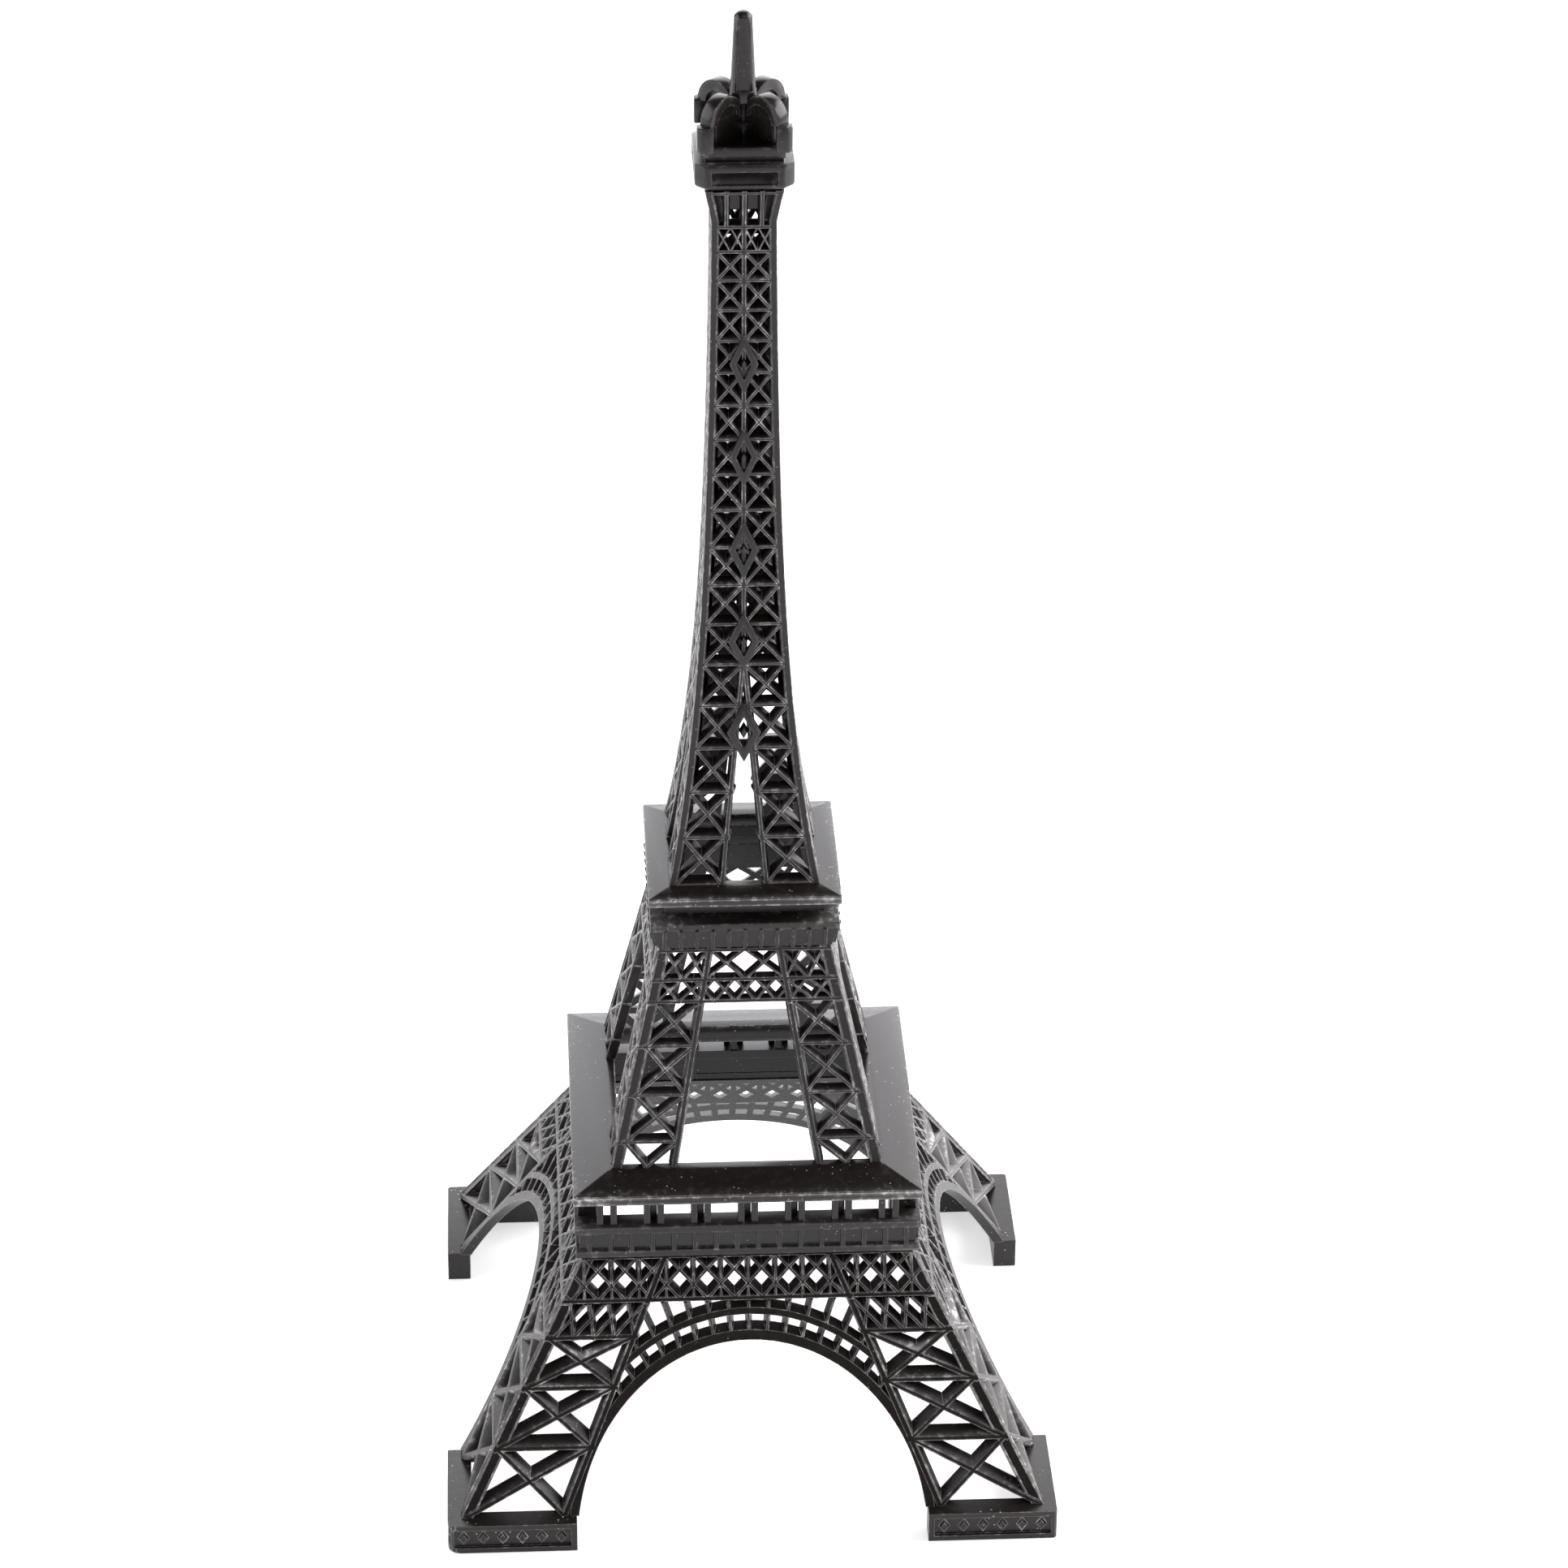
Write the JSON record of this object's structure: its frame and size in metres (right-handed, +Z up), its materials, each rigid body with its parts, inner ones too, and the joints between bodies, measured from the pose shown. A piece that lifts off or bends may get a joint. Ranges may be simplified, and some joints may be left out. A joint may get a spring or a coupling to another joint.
{
  "type": "miniature lattice tower",
  "caption": "Black die-cast miniature lattice tower: leaning legs on L-shaped feet, arches, two floors, a curved lattice shaft and a lantern with a mast.",
  "frame": {"origin": "centre of the square that the four feet stand in, on the table", "axes": "+Z up the tower, -Y towards the front face with the medallions, +X to the right of it"},
  "size_m": [0.0724, 0.0724, 0.18],
  "materials": {
    "blackened_metal": "satin to semi-gloss black over grainy zinc casting, edges rubbed bright"
  },
  "bodies": {
    "root": {"foot_front_right": "blackened_metal", "foot_back_right": "blackened_metal", "foot_back_left": "blackened_metal", "foot_front_left": "blackened_metal", "leg_front_right": "blackened_metal", "leg_back_right": "blackened_metal", "leg_back_left": "blackened_metal", "leg_front_left": "blackened_metal", "arch_front": "blackened_metal", "arch_right": "blackened_metal", "arch_back": "blackened_metal", "arch_left": "blackened_metal", "girder_front": "blackened_metal", "girder_right": "blackened_metal", "girder_back": "blackened_metal", "girder_left": "blackened_metal", "floor1_frieze": "blackened_metal", "floor1_columns": "blackened_metal", "floor1_roof": "blackened_metal", "upper_leg_front_right": "blackened_metal", "upper_leg_back_right": "blackened_metal", "upper_leg_back_left": "blackened_metal", "upper_leg_front_left": "blackened_metal", "upper_belt_front": "blackened_metal", "upper_belt_right": "blackened_metal", "upper_belt_back": "blackened_metal", "upper_belt_left": "blackened_metal", "floor2_frieze": "blackened_metal", "floor2_gallery_wall": "blackened_metal", "floor2_roof": "blackened_metal", "shaft_front": "blackened_metal", "shaft_right": "blackened_metal", "shaft_back": "blackened_metal", "shaft_left": "blackened_metal", "medallion_1": "blackened_metal", "medallion_2": "blackened_metal", "medallion_3": "blackened_metal", "medallion_4": "blackened_metal", "medallion_5": "blackened_metal", "capital_box": "blackened_metal", "balcony": "blackened_metal", "lantern_ribs": "blackened_metal", "lantern_core": "blackened_metal", "mast": "blackened_metal"}
  },
  "joints": []
}
